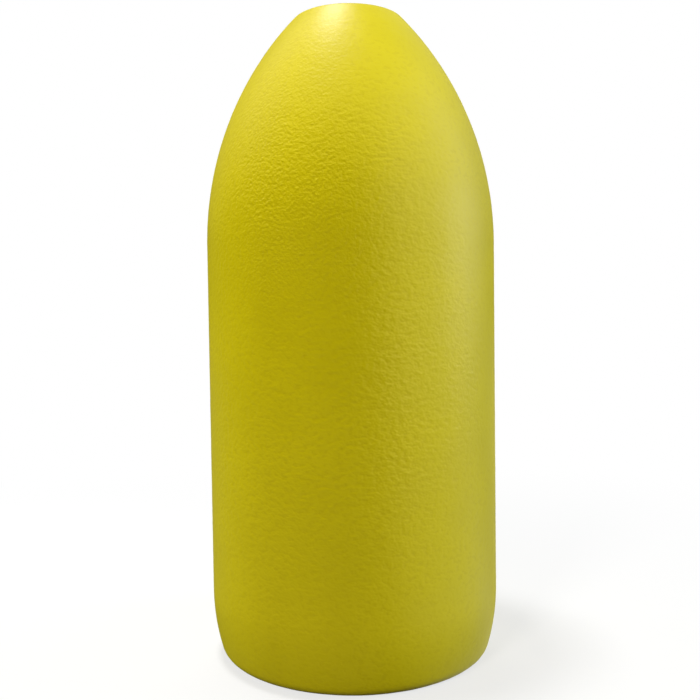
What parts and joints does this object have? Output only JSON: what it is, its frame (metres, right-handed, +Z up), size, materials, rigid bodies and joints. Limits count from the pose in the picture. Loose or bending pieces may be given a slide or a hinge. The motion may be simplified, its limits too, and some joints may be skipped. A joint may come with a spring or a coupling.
{
  "type": "trap buoy",
  "caption": "Bullet-shaped yellow foam float on a lined line hole, which marks a crab or lobster trap and holds up its line.",
  "frame": {"origin": "middle of the flat base, on the surface that the buoy stands on", "axes": "+Z up the line bore, from the base to the nose; the buoy is round, so X and Y are free"},
  "size_m": [0.127, 0.127, 0.2794],
  "materials": {
    "foam_skin": "moulded closed-cell foam skin, yellow, satin, with a fine leathery grain",
    "tube_plastic": "extruded pipe, pale grey, satin",
    "ferrule_plastic": "moulded, black, fine spark texture"
  },
  "bodies": {
    "root": {"foam_float": "foam_skin", "line_tube": "tube_plastic", "nose_ferrule": "ferrule_plastic", "base_ferrule": "ferrule_plastic"}
  },
  "joints": []
}
